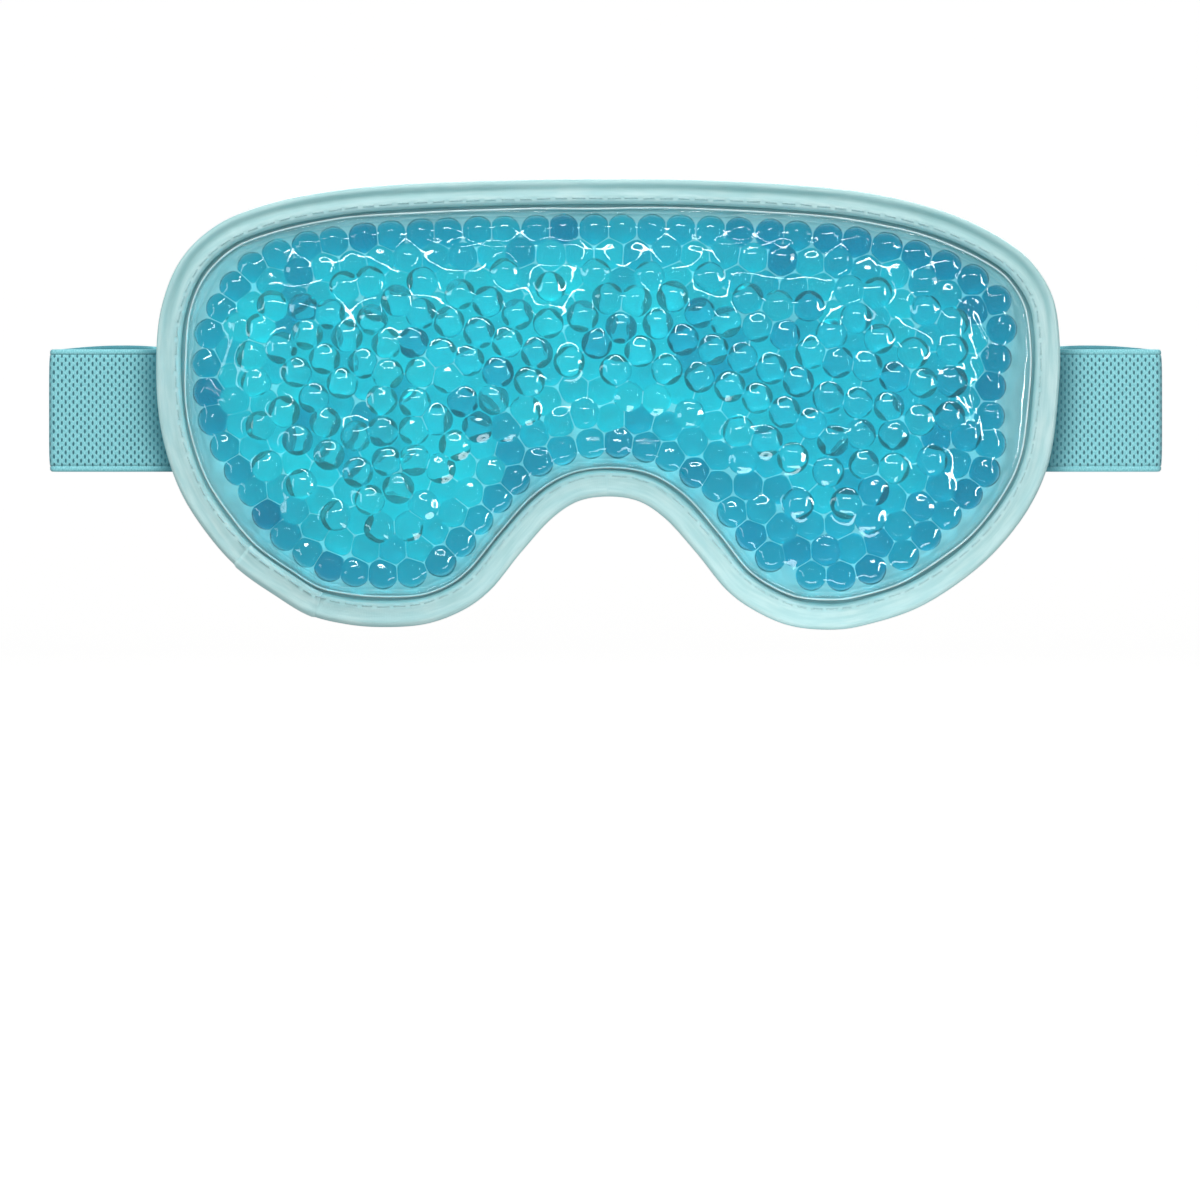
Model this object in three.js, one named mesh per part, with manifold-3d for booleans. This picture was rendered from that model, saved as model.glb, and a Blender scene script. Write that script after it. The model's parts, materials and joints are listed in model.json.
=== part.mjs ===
// Gel bead eye pillow: two lobes of beads under a clear film, backed with soft fabric, bound with
// folded tape, and worn with two wide elastic straps that close behind the head.
// Millimetres. +X runs to the right as seen from the bead side, +Z is up, towards the forehead, and
// the bead side faces -Y. The plane y = 0 is the back, where the fabric rests on the face.
import * as THREE from 'three';
import { mergeVertices } from 'three/addons/utils/BufferGeometryUtils.js';
import Module from 'manifold-3d';

// ---------------------------------------------------------------- driving dimensions
const TAPE_T = 0.6;             // binding tape thickness
const TAPE_FRONT = 6.3;         // width of the folded tape on the bead side
const TAPE_BACK = 6.0;          // width of the folded tape on the fabric side
const TAPE_ROUND = 1.5;         // rounding of the tape's fold
const EDGE_WALL = 0.9;          // tape and turned edge at the outline
const CLEAR = 0.3;              // gap between neighbouring pieces
const FABRIC_T = 1.0;           // backing fabric
const FILM_T = 0.4;             // clear and backing films
const POUCH_DEPTH = 11.2;       // height of the filled pouch over its welded flange
const WELD_INSET = 8.4;         // outline to the weld between the two films
const POUCH_RISE = 18;          // weld to full height
const POUCH_FULLNESS = 2.6;     // how steeply the pouch climbs at first: 1 is a straight slope
const FILL_INSET = 0.9;         // weld to the outermost beads
const FILL_GAP = 0.5;           // window film to the beads, measured along Y
const WRAP_DEG = 50;            // how far the two lobes wrap round a face
const STRAP_W = 30;             // elastic width
const STRAP_T = 1.2;            // elastic thickness
const STRAP_Z = -1.0;           // height of the strap's middle line
const STRAP_STANDOFF = 0.9;     // binding back to the sewn strap
const FOLD_INNER_R = 1.0;       // inner radius of the strap's flat fold
const FOLD_REACH = { left: 137.4, right: 136.0 };   // outermost point of each fold
const SEWN_REACH = 45;          // fold to a point well inside the sewn end
const SEAM_END = 1.5;           // strap edge to the ends of its seam
const TIP_X = 13;               // distance of each strap tip from the middle, folded
const PATCH = { length: 45, width: 24, thick: 1.0, tipGap: 3, seamInset: 1.2 };
const THREAD = 0.4;             // thread width; it lies CLEAR above what it holds
const FRONT_SEAM_INSET = 5.0;   // outline to the binding's seam on each side
const BACK_SEAM_INSET = 4.6;
const JOIN = { from: 0.285, to: 0.345, standoff: 0.8 };   // lapped tape end, along the left outline

// Half outlines, from the middle of the nose notch, round the lobe and cheek, to the middle of the
// forehead edge: [distance from the middle, height].
const OUTLINE = {
  right: [[0, -22.2], [7.2, -23.3], [13.4, -27.2], [21.2, -35.7], [28.9, -45.1], [35.1, -49.7],
    [44.3, -53.7], [56.0, -54.6], [63.8, -53.2], [75.4, -49.3], [87.0, -42.0], [94.8, -35.0],
    [102.5, -24.9], [107.2, -14.1], [109.5, 1.5], [109.9, 16.1], [108.0, 27.0], [102.5, 35.5],
    [94.8, 41.3], [83.2, 46.8], [67.7, 51.0], [52.1, 53.2], [21.2, 55.0], [0, 55.2]],
  left: [[0, -22.2], [7.2, -23.3], [13.4, -27.2], [21.2, -35.7], [28.9, -45.1], [35.1, -49.7],
    [44.3, -53.2], [56.0, -54.0], [64.5, -53.2], [73.0, -51.0], [81.0, -46.2], [90.6, -39.3],
    [98.0, -31.0], [104.5, -20.5], [109.0, -6.0], [110.2, 10.0], [108.9, 24.0], [104.0, 35.8],
    [95.3, 44.0], [83.2, 49.0], [67.7, 52.2], [52.1, 53.8], [21.2, 55.0], [0, 55.2]],
};
const OUTLINE_STEPS = 46;       // chords along each half outline
const LOBE_CENTRE = [55, 0];    // each half is star-shaped about this point
const SHRINK = [1, 0.895, 0.85, 0.79, 0.72, 0.6, 0.35];   // rings of a domed piece, edge to centre

// ---------------------------------------------------------------- levels, back to front
const BACK_LEG = [-TAPE_T, 0];
const FABRIC = stackBelow(BACK_LEG, FABRIC_T);
const BACK_FILM = stackBelow(FABRIC, FILM_T);
const FLANGE = stackBelow(BACK_FILM, FILM_T);
const FRONT_LEG = stackBelow(FLANGE, TAPE_T);
const FILL_BACK = BACK_FILM[0] - CLEAR;
const CROWN_Y = FLANGE[0] - POUCH_DEPTH;
const BRIDGE_AXIS_Y = CROWN_Y - CLEAR;
const PANEL_INSET = EDGE_WALL + 0.4;

const NEAR_STRAP = [STRAP_STANDOFF, STRAP_STANDOFF + STRAP_T];
const FOLD_Y = NEAR_STRAP[1] + FOLD_INNER_R;
const FAR_STRAP = [FOLD_Y + FOLD_INNER_R, FOLD_Y + FOLD_INNER_R + STRAP_T];
const FOLD_OUTER_R = FOLD_INNER_R + STRAP_T;

function stackBelow(level, thickness) {
  const top = level[0] - CLEAR;
  return [top - thickness, top];
}

// ---------------------------------------------------------------- materials
const finish = {
  fabric: new THREE.MeshStandardMaterial({ color: 0x6dcfe0, roughness: 0.9, metalness: 0 }),
  film: new THREE.MeshStandardMaterial({
    color: 0xbfe6ea, roughness: 0.08, metalness: 0, transparent: true, opacity: 0.35 }),
  beads: new THREE.MeshStandardMaterial({ color: 0x1fb3cb, roughness: 0.15, metalness: 0 }),
  tape: new THREE.MeshStandardMaterial({ color: 0xaee0e2, roughness: 0.5, metalness: 0 }),
  thread: new THREE.MeshStandardMaterial({ color: 0x93c9cc, roughness: 0.7, metalness: 0 }),
  elastic: new THREE.MeshStandardMaterial({ color: 0x7ccbd4, roughness: 0.85, metalness: 0 }),
  hook: new THREE.MeshStandardMaterial({ color: 0x79c3cc, roughness: 0.6, metalness: 0 }),
  loop: new THREE.MeshStandardMaterial({ color: 0x86ccd4, roughness: 1, metalness: 0 }),
};

// ---------------------------------------------------------------- solids
const wasm = await Module();
wasm.setup();

function toManifold(geometry) {
  const bare = geometry.clone();
  bare.deleteAttribute('normal');
  bare.deleteAttribute('uv');
  const merged = mergeVertices(bare, 1e-4);
  const vertProperties = new Float32Array(merged.attributes.position.array);
  const triVerts = new Uint32Array(merged.index.array);
  return new wasm.Manifold(new wasm.Mesh({ numProp: 3, vertProperties, triVerts }));
}

function toGeometry(solid) {
  const mesh = solid.getMesh();
  const geometry = new THREE.BufferGeometry();
  geometry.setAttribute('position', new THREE.BufferAttribute(mesh.vertProperties, 3));
  geometry.setIndex(new THREE.BufferAttribute(mesh.triVerts, 1));
  geometry.computeVertexNormals();
  return geometry;
}

function join(first, second) {
  return toGeometry(toManifold(first).add(toManifold(second)));
}

function cut(geometry, ...tools) {
  let solid = toManifold(geometry);
  for (const tool of tools) {
    solid = solid.subtract(toManifold(tool));
  }
  return toGeometry(solid);
}

function indexed(points, triangles) {
  const geometry = new THREE.BufferGeometry();
  geometry.setAttribute('position', new THREE.Float32BufferAttribute(points.flat(), 3));
  geometry.setIndex(triangles.flat());
  return geometry;
}

// A flat piece: an outline in the XZ plane, between two Y levels.
function flatPiece(outline, level, hole = null) {
  const shape = new THREE.Shape(outline.map(([x, z]) => new THREE.Vector2(x, z)));
  if (hole) {
    shape.holes.push(new THREE.Path(hole.map(([x, z]) => new THREE.Vector2(x, z))));
  }
  const depth = level[1] - level[0];
  const geometry = new THREE.ExtrudeGeometry(shape, { depth, bevelEnabled: false });
  geometry.rotateX(Math.PI / 2);
  geometry.translate(0, level[1], 0);
  return geometry;
}

function box(x, y, z) {
  const geometry = new THREE.BoxGeometry(x[1] - x[0], y[1] - y[0], z[1] - z[0]);
  geometry.translate((x[0] + x[1]) / 2, (y[0] + y[1]) / 2, (z[0] + z[1]) / 2);
  return geometry;
}

// A closed band of one section swept along stations; each station maps [u, y] to a point.
function sweep(stations, section) {
  const points = stations.flatMap((place) => section.map(([u, y]) => place(u, y)));
  const count = section.length;
  const triangles = [];
  for (let i = 0; i + 1 < stations.length; i += 1) {
    for (let j = 0; j < count; j += 1) {
      const a = i * count + j;
      const b = i * count + ((j + 1) % count);
      triangles.push([a, b, a + count], [b, b + count, a + count]);
    }
  }
  const flat = section.map(([u, y]) => new THREE.Vector2(u, y));
  const sectionSign = Math.sign(THREE.ShapeUtils.area(flat));
  const last = (stations.length - 1) * count;
  for (const corners of THREE.ShapeUtils.triangulateShape(flat, [])) {
    const cornerSign = Math.sign(THREE.ShapeUtils.area(corners.map((corner) => flat[corner])));
    const [a, b, c] = cornerSign === sectionSign ? corners : corners.toReversed();
    triangles.push([c, b, a], [last + a, last + b, last + c]);
  }
  return outward(points, triangles);
}

// Turns the faces out, whichever way the stations ran.
function outward(points, triangles) {
  const [p, q, r] = [new THREE.Vector3(), new THREE.Vector3(), new THREE.Vector3()];
  let volume = 0;
  for (const [a, b, c] of triangles) {
    p.fromArray(points[a]);
    q.fromArray(points[b]);
    r.fromArray(points[c]);
    volume += p.dot(q.cross(r));
  }
  const facing = volume > 0 ? triangles : triangles.map(([a, b, c]) => [a, c, b]);
  return indexed(points, facing);
}

// ---------------------------------------------------------------- one half of the pillow
// The outline of one half: points with inward normals, evenly spaced from notch to forehead.
function outlineOf(side) {
  const knots = OUTLINE[side].map(([x, z]) => new THREE.Vector3(x, z, 0));
  const curve = new THREE.CatmullRomCurve3(knots, false, 'centripetal');
  const sign = side === 'left' ? -1 : 1;
  return Array.from({ length: OUTLINE_STEPS + 1 }, (_, i) => {
    const t = i / OUTLINE_STEPS;
    const point = curve.getPointAt(t);
    const tangent = i % OUTLINE_STEPS === 0
      ? new THREE.Vector3(i === 0 ? 1 : -1, 0, 0)
      : curve.getTangentAt(t);
    return { x: sign * point.x, z: point.y, nx: -sign * tangent.y, nz: tangent.x };
  });
}

function offset({ x, z, nx, nz }, inset) {
  return [x + nx * inset, z + nz * inset];
}

// The closed boundary of a half whose outer edge is inset, with stations down the bridge line.
function boundaryOf(outline, inset, bridgeSteps = 8) {
  const edge = outline.map((station) => offset(station, inset));
  const [top, bottom] = [edge[edge.length - 1], edge[0]];
  for (let i = 1; i < bridgeSteps; i += 1) {
    const ease = (1 - Math.cos((Math.PI * i) / bridgeSteps)) / 2;
    edge.push([0, top[1] + (bottom[1] - top[1]) * ease]);
  }
  return edge;
}

// Distance from a point to the outline's chords.
function depthInside(outline, x, z) {
  let best = Infinity;
  for (let i = 0; i + 1 < outline.length; i += 1) {
    const a = outline[i];
    const b = outline[i + 1];
    const along = new THREE.Vector2(b.x - a.x, b.z - a.z);
    const reach = new THREE.Vector2(x - a.x, z - a.z);
    const t = THREE.MathUtils.clamp(reach.dot(along) / along.lengthSq(), 0, 1);
    best = Math.min(best, reach.distanceTo(along.multiplyScalar(t)));
  }
  return best;
}

// Height of the pouch over its flange: it climbs from the weld over POUCH_RISE, then stays level.
function pouchHeight(outline, x, z) {
  const climb = (depthInside(outline, x, z) - WELD_INSET) / POUCH_RISE;
  const left = 1 - THREE.MathUtils.clamp(climb, 0, 1);
  return POUCH_DEPTH * (1 - left ** POUCH_FULLNESS);
}

// A piece between two surfaces over one half: rings shrink from the boundary to the lobe's centre.
function domedPiece(side, boundary, frontY, backY) {
  const centre = [side === 'left' ? -LOBE_CENTRE[0] : LOBE_CENTRE[0], LOBE_CENTRE[1]];
  const count = boundary.length;
  const points = [];
  for (const surface of [frontY, backY]) {
    for (const scale of SHRINK) {
      for (const [bx, bz] of boundary) {
        const x = centre[0] + (bx - centre[0]) * scale;
        const z = centre[1] + (bz - centre[1]) * scale;
        points.push([x, surface(x, z), z]);
      }
    }
    points.push([centre[0], surface(...centre), centre[1]]);
  }
  const perSurface = SHRINK.length * count + 1;
  const triangles = [];
  for (let j = 0; j < count; j += 1) {
    const k = (j + 1) % count;
    for (let ring = 0; ring + 1 < SHRINK.length; ring += 1) {
      const [a, b] = [ring * count + j, ring * count + k];
      triangles.push([a, b, a + count], [b, b + count, a + count]);
      const [c, d] = [a + perSurface, b + perSurface];
      triangles.push([d, c, c + count], [d, c + count, d + count]);
    }
    const inner = (SHRINK.length - 1) * count;
    triangles.push([inner + j, inner + k, perSurface - 1]);
    triangles.push([perSurface + inner + k, perSurface + inner + j, 2 * perSurface - 1]);
    triangles.push([j, perSurface + j, k], [k, perSurface + j, perSurface + k]);
  }
  return outward(points, triangles);
}

// The wedge that parts the halves: a slit at the bead side, opening towards the back.
function bridgeWedge() {
  const behind = FAR_STRAP[1] + 2;
  const half = CLEAR / 2 + (behind - BRIDGE_AXIS_Y) * Math.tan(THREE.MathUtils.degToRad(WRAP_DEG / 2));
  const shape = new THREE.Shape();
  shape.moveTo(-CLEAR / 2, BRIDGE_AXIS_Y - 5);
  shape.lineTo(CLEAR / 2, BRIDGE_AXIS_Y - 5);
  shape.lineTo(CLEAR / 2, BRIDGE_AXIS_Y);
  shape.lineTo(half, behind);
  shape.lineTo(-half, behind);
  shape.lineTo(-CLEAR / 2, BRIDGE_AXIS_Y);
  const geometry = new THREE.ExtrudeGeometry(shape, { depth: 140, bevelEnabled: false });
  geometry.translate(0, 0, -70);
  return geometry;
}

// Folded tape: a U round the edges of the fabric and both films. Its inner faces lie at `inner`
// (front, back) and `inside` (outline), and it is `wall` thick.
function tapeSection(inner, inside, wall) {
  const [front, back] = [inner[0] - TAPE_T, inner[1] + TAPE_T];
  const edge = inside - wall;
  return [
    [TAPE_FRONT, front], [edge + TAPE_ROUND, front], [edge + TAPE_ROUND / 5, front + TAPE_ROUND / 3],
    [edge, front + TAPE_ROUND], [edge, back - TAPE_ROUND],
    [edge + TAPE_ROUND / 5, back - TAPE_ROUND / 3], [edge + TAPE_ROUND, back], [TAPE_BACK, back],
    [TAPE_BACK, inner[1]], [inside, inner[1]], [inside, inner[0]], [TAPE_FRONT, inner[0]],
  ];
}

function along(outline) {
  return outline.map((station) => (u, y) => {
    const [x, z] = offset(station, u);
    return [x, y, z];
  });
}

function threadSection(inset, y) {
  const half = THREAD / 2;
  return [[inset - half, y], [inset, y - half], [inset + half, y]];
}

// ---------------------------------------------------------------- straps
function strapZ() {
  return [STRAP_Z - STRAP_W / 2, STRAP_Z + STRAP_W / 2];
}

// The sewn end: from the fold to the inner edge of the binding, whose curve it follows.
function strapRoot(side, outline) {
  const sign = side === 'left' ? -1 : 1;
  const foldX = FOLD_REACH[side] - FOLD_OUTER_R;
  const reach = [foldX - FOLD_OUTER_R - CLEAR, FOLD_REACH[side] - SEWN_REACH].map((x) => sign * x);
  const strap = box([Math.min(...reach), Math.max(...reach)], NEAR_STRAP, strapZ());
  const panel = flatPiece(boundaryOf(outline, TAPE_BACK), [NEAR_STRAP[0] - 1, NEAR_STRAP[1] + 1]);
  return cut(strap, panel);
}

// The free length, with the flat fold at its outer end: a J in the XY plane, extruded up Z.
function strapTail(side) {
  const sign = side === 'left' ? -1 : 1;
  const foldX = FOLD_REACH[side] - FOLD_OUTER_R;
  const turns = 10;
  const arc = (radius, i) => {
    const angle = -Math.PI / 2 + (Math.PI * i) / turns;
    return [sign * (foldX + radius * Math.cos(angle)), FOLD_Y + radius * Math.sin(angle)];
  };
  const steps = Array.from({ length: turns + 1 }, (_, i) => i);
  const profile = [
    ...steps.map((i) => arc(FOLD_OUTER_R, i)),
    [sign * TIP_X, FAR_STRAP[1]],
    [sign * TIP_X, FAR_STRAP[0]],
    ...steps.map((i) => arc(FOLD_INNER_R, turns - i)),
  ];
  const shape = new THREE.Shape(profile.map(([x, y]) => new THREE.Vector2(x, y)));
  const geometry = new THREE.ExtrudeGeometry(shape, { depth: STRAP_W, bevelEnabled: false });
  geometry.translate(0, 0, strapZ()[0]);
  return geometry;
}

function rectangle(x, z, inset = 0) {
  const [x0, x1] = [Math.min(...x) + inset, Math.max(...x) - inset];
  return [[x0, z[0] + inset], [x1, z[0] + inset], [x1, z[1] - inset], [x0, z[1] - inset]];
}

// A fastening patch near the strap tip, and the thread ring that holds it.
function patchOn(side, level, threadLevel) {
  const sign = side === 'left' ? -1 : 1;
  const start = TIP_X + PATCH.tipGap;
  const x = [sign * start, sign * (start + PATCH.length)];
  const z = [STRAP_Z - PATCH.width / 2, STRAP_Z + PATCH.width / 2];
  return {
    patch: flatPiece(rectangle(x, z), level),
    ring: flatPiece(
      rectangle(x, z, PATCH.seamInset), threadLevel, rectangle(x, z, PATCH.seamInset + THREAD).reverse()),
  };
}

// The seam through the sewn strap end follows the binding between the strap's two edges.
function strapSeam(outline) {
  const [low, high] = strapZ();
  const covered = outline.filter(({ z }) => z > low + SEAM_END && z < high - SEAM_END);
  return sweep(along(covered), threadSection(BACK_SEAM_INSET, NEAR_STRAP[1] + CLEAR + THREAD / 2));
}

// ---------------------------------------------------------------- assembly
const eyePillow = new THREE.Group();
eyePillow.name = 'eye_pillow';

function add(parent, name, geometry, material) {
  const mesh = new THREE.Mesh(geometry, material);
  mesh.name = name;
  parent.add(mesh);
}

function buildHalf(side) {
  const group = new THREE.Group();
  const outline = outlineOf(side);
  const wedge = bridgeWedge();
  const panel = boundaryOf(outline, PANEL_INSET);
  const fill = boundaryOf(outline, WELD_INSET + FILL_INSET);
  const windowY = (x, z) => FLANGE[0] - pouchHeight(outline, x, z);
  const windowBackY = (x, z) => FLANGE[1] - pouchHeight(outline, x, z);
  const fillY = (x, z) => windowBackY(x, z) + FILL_GAP;
  const mould = domedPiece(side, panel, () => 2 * CROWN_Y, fillY);
  const fabricThreadY = BACK_LEG[1] + CLEAR + THREAD / 2;
  const frontThreadY = FRONT_LEG[0] - CLEAR;

  const pad = boundaryOf(outline, TAPE_BACK + CLEAR);
  const fabric = join(flatPiece(panel, FABRIC), flatPiece(pad, [FABRIC[0], BACK_LEG[1]]));
  add(group, `fabric_panel_${side}`, cut(fabric, wedge), finish.fabric);
  add(group, `back_film_${side}`, cut(flatPiece(panel, BACK_FILM), wedge), finish.film);
  add(group, `bead_fill_${side}`, cut(flatPiece(fill, [CROWN_Y, FILL_BACK]), mould, wedge), finish.beads);
  add(group, `window_film_${side}`, cut(domedPiece(side, panel, windowY, windowBackY), wedge), finish.film);
  const tape = sweep(along(outline), tapeSection([FRONT_LEG[1], BACK_LEG[0]], EDGE_WALL, EDGE_WALL));
  add(group, `binding_${side}`, cut(tape, wedge), finish.tape);
  const needle = sweep(along(outline), threadSection(FRONT_SEAM_INSET, frontThreadY));
  const bobbin = sweep(along(outline), threadSection(BACK_SEAM_INSET, fabricThreadY));
  add(group, `needle_thread_${side}`, cut(needle, wedge), finish.thread);
  add(group, `bobbin_thread_${side}`, cut(bobbin, wedge), finish.thread);
  add(group, `strap_root_${side}`, strapRoot(side, outline), finish.elastic);
  add(group, `strap_seam_${side}`, strapSeam(outline), finish.thread);
  add(group, `strap_tail_${side}`, strapTail(side), finish.elastic);
  return group;
}

eyePillow.add(buildHalf('left'));
eyePillow.add(buildHalf('right'));

// The tape's two ends lap on the left lobe.
const leftOutline = outlineOf('left');
const lap = leftOutline.slice(
  Math.round(JOIN.from * OUTLINE_STEPS), Math.round(JOIN.to * OUTLINE_STEPS) + 2);
const lapInner = [FRONT_LEG[0] - JOIN.standoff, BACK_LEG[1] + JOIN.standoff];
add(eyePillow, 'binding_join', sweep(along(lap), tapeSection(lapInner, -CLEAR, TAPE_T)), finish.tape);

// Hooks on the left strap face out; loops on the right strap face the pillow.
const outerPatch = [FAR_STRAP[1] + CLEAR, FAR_STRAP[1] + CLEAR + PATCH.thick];
const innerPatch = [FAR_STRAP[0] - CLEAR - PATCH.thick, FAR_STRAP[0] - CLEAR];
const outerRing = [outerPatch[1] + CLEAR, outerPatch[1] + CLEAR + THREAD];
const innerRing = [innerPatch[0] - CLEAR - THREAD, innerPatch[0] - CLEAR];
const hooks = patchOn('left', outerPatch, outerRing);
const loops = patchOn('right', innerPatch, innerRing);
add(eyePillow, 'hook_patch', hooks.patch, finish.hook);
add(eyePillow, 'hook_patch_thread', hooks.ring, finish.thread);
add(eyePillow, 'loop_patch', loops.patch, finish.loop);
add(eyePillow, 'loop_patch_thread', loops.ring, finish.thread);

export default eyePillow;
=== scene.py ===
"""Gel bead eye pillow: beads under a clear film, fabric back, bound edge, two knitted elastic straps."""

import json
import math

import bmesh
import bpy
import numpy as np
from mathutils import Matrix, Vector
from mathutils.kdtree import KDTree

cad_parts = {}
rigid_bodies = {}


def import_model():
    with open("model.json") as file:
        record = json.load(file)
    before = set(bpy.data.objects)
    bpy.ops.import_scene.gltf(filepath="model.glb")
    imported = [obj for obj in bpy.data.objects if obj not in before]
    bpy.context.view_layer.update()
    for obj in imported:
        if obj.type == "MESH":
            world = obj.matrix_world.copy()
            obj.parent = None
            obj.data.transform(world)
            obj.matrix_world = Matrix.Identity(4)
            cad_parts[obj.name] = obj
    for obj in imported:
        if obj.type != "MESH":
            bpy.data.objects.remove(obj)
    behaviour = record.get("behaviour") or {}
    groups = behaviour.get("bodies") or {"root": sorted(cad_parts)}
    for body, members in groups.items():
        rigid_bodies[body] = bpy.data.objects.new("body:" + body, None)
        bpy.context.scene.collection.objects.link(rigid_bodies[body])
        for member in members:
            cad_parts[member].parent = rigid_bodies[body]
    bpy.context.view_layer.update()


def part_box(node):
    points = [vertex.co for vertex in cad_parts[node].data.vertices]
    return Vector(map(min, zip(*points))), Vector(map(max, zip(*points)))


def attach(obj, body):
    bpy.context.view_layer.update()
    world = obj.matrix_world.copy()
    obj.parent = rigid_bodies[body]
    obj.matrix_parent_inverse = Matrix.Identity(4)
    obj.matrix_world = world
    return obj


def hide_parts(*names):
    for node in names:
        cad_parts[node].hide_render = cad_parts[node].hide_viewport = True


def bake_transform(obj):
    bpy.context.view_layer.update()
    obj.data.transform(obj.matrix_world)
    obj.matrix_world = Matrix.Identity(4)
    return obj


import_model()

MM = 0.001
rng = np.random.default_rng(11)    # the one stream of random numbers; its order matters

# -------- sizes, in millimetres
BEAD_R = 3.75               # half the spacing of beads that touch
BEAD_SWELL = 3.88           # bead radius where nothing presses on it
BEAD_GAP = 0.05             # left between two beads' flattened faces
BEAD_COUNT = 405
PACK_TURNS = 260            # rounds of pushing the beads apart
SHAKE_TURNS = 160           # the first of them, which also shake the beads
FILM_T = 0.25
FILM_PITCH = 0.62           # pitch of each sheet's mesh
BACKING_PITCH = 1.2
FABRIC_PITCH = 0.9
FILM_INSET = 2.2            # outline to the edge of both films, inside the tape
FABRIC_INSET = 1.3
FILM_STEPS = 1400           # steps of the film's membrane solver
FILM_PULL = 0.022           # how far the film is drawn in at each step
WELD_INSET = 8.4            # outline to the weld between the films
TAPE_BACK = 6.0             # tape width on the fabric side
STITCH_PITCH = 4.3
STITCH_LENGTH = 2.7
STITCH_R = 0.2
SEAM_INSET = 5.0            # outline to the binding's seam, on the bead side
SEAM_INSET_BACK = 4.6
LAP_RISE = 0.80             # the lapped tape end stands this much prouder
STRAP_SEAM_INSETS = (4.6, 1.9)
STRAP_SEAM_PITCH = 2.9
STRAP_SEAM_LENGTH = 2.1
KNIT_COLUMN = 0.94          # spacing of the elastic's slits, along and across the strap
KNIT_ROW = 2.06
FOLD_INSET = 2.2            # strap's outermost reach to the middle of its fold
HOOK_SPACING = (1.25, 1.05)
LOOP_COUNT = 1500

# Creases that stand in the window film: start, end, half width, height.
CREASES = [
    ((-88.5, 21), (-93, 7), 0.9, 0.75), ((-93, 36), (-99.5, 21), 0.8, 0.55),
    ((-45, 38.8), (-8, 38.2), 0.8, 0.5), ((-97, 4), (-88, -2), 1.0, 0.6),
    ((84, 30), (92, 12), 0.9, 0.7), ((92, 12), (88, -6), 0.9, 0.6),
    ((20, 39.5), (50, 38.5), 0.8, 0.4)]

# The half outlines that the CAD model uses: [distance from the middle, height], notch to forehead.
NOTCH = [(0, -22.2), (7.2, -23.3), (13.4, -27.2), (21.2, -35.7), (28.9, -45.1), (35.1, -49.7)]
OUTLINE_RIGHT = NOTCH + [
    (44.3, -53.7), (56.0, -54.6), (63.8, -53.2), (75.4, -49.3), (87.0, -42.0), (94.8, -35.0),
    (102.5, -24.9), (107.2, -14.1), (109.5, 1.5), (109.9, 16.1), (108.0, 27.0), (102.5, 35.5),
    (94.8, 41.3), (83.2, 46.8), (67.7, 51.0), (52.1, 53.2), (21.2, 55.0), (0, 55.2)]
OUTLINE_LEFT = NOTCH + [
    (44.3, -53.2), (56.0, -54.0), (64.5, -53.2), (73.0, -51.0), (81.0, -46.2), (90.6, -39.3),
    (98.0, -31.0), (104.5, -20.5), (109.0, -6.0), (110.2, 10.0), (108.9, 24.0), (104.0, 35.8),
    (95.3, 44.0), (83.2, 49.0), (67.7, 52.2), (52.1, 53.8), (21.2, 55.0), (0, 55.2)]


# -------- levels, from the frame
def level(node):
    low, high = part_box(node)
    return low.y / MM, high.y / MM


TAPE_Y = level("binding_left")
FABRIC_Y = level("fabric_panel_left")
BACK_FILM_Y = level("back_film_left")
FLANGE_Y = BACK_FILM_Y[0] - 0.45
NEAR_Y = level("strap_root_left")


# -------- outline
def spline(points, steps):
    """Centripetal Catmull-Rom through a closed ring of points, evenly spaced along its length."""
    ring = np.array(points, float)
    count = len(ring)
    fine = []
    for i in range(count):
        p = [ring[(i + k - 1) % count] for k in range(4)]
        t = [0.0]
        for a, b in zip(p, p[1:]):
            t.append(t[-1] + math.sqrt(np.linalg.norm(b - a)))
        u = np.linspace(t[1], t[2], 40, endpoint=False)[:, None]
        a1 = (t[1] - u) / (t[1] - t[0]) * p[0] + (u - t[0]) / (t[1] - t[0]) * p[1]
        a2 = (t[2] - u) / (t[2] - t[1]) * p[1] + (u - t[1]) / (t[2] - t[1]) * p[2]
        a3 = (t[3] - u) / (t[3] - t[2]) * p[2] + (u - t[2]) / (t[3] - t[2]) * p[3]
        b1 = (t[2] - u) / (t[2] - t[0]) * a1 + (u - t[0]) / (t[2] - t[0]) * a2
        b2 = (t[3] - u) / (t[3] - t[1]) * a2 + (u - t[1]) / (t[3] - t[1]) * a3
        fine.append((t[2] - u) / (t[2] - t[1]) * b1 + (u - t[1]) / (t[2] - t[1]) * b2)
    fine = np.concatenate(fine)
    step = np.linalg.norm(np.roll(fine, -1, 0) - fine, axis=1)
    reach = np.concatenate([[0], np.cumsum(step)])
    at = np.linspace(0, reach[-1], steps, endpoint=False)
    closed = np.vstack([fine, fine[:1]])
    return np.stack([np.interp(at, reach, closed[:, k]) for k in (0, 1)], 1), reach[-1]


RING, PERIMETER = spline(OUTLINE_RIGHT[:-1] + [(-x, z) for x, z in OUTLINE_LEFT[:0:-1]], 1440)
TANGENT = np.roll(RING, -1, 0) - np.roll(RING, 1, 0)
TANGENT /= np.linalg.norm(TANGENT, axis=1)[:, None]
INWARD = np.stack([-TANGENT[:, 1], TANGENT[:, 0]], 1)
ALONG = np.linspace(0, PERIMETER, len(RING), endpoint=False)

_tree = KDTree(len(RING))
for _i, (_x, _z) in enumerate(RING):
    _tree.insert((_x, _z, 0), _i)
_tree.balance()


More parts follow.
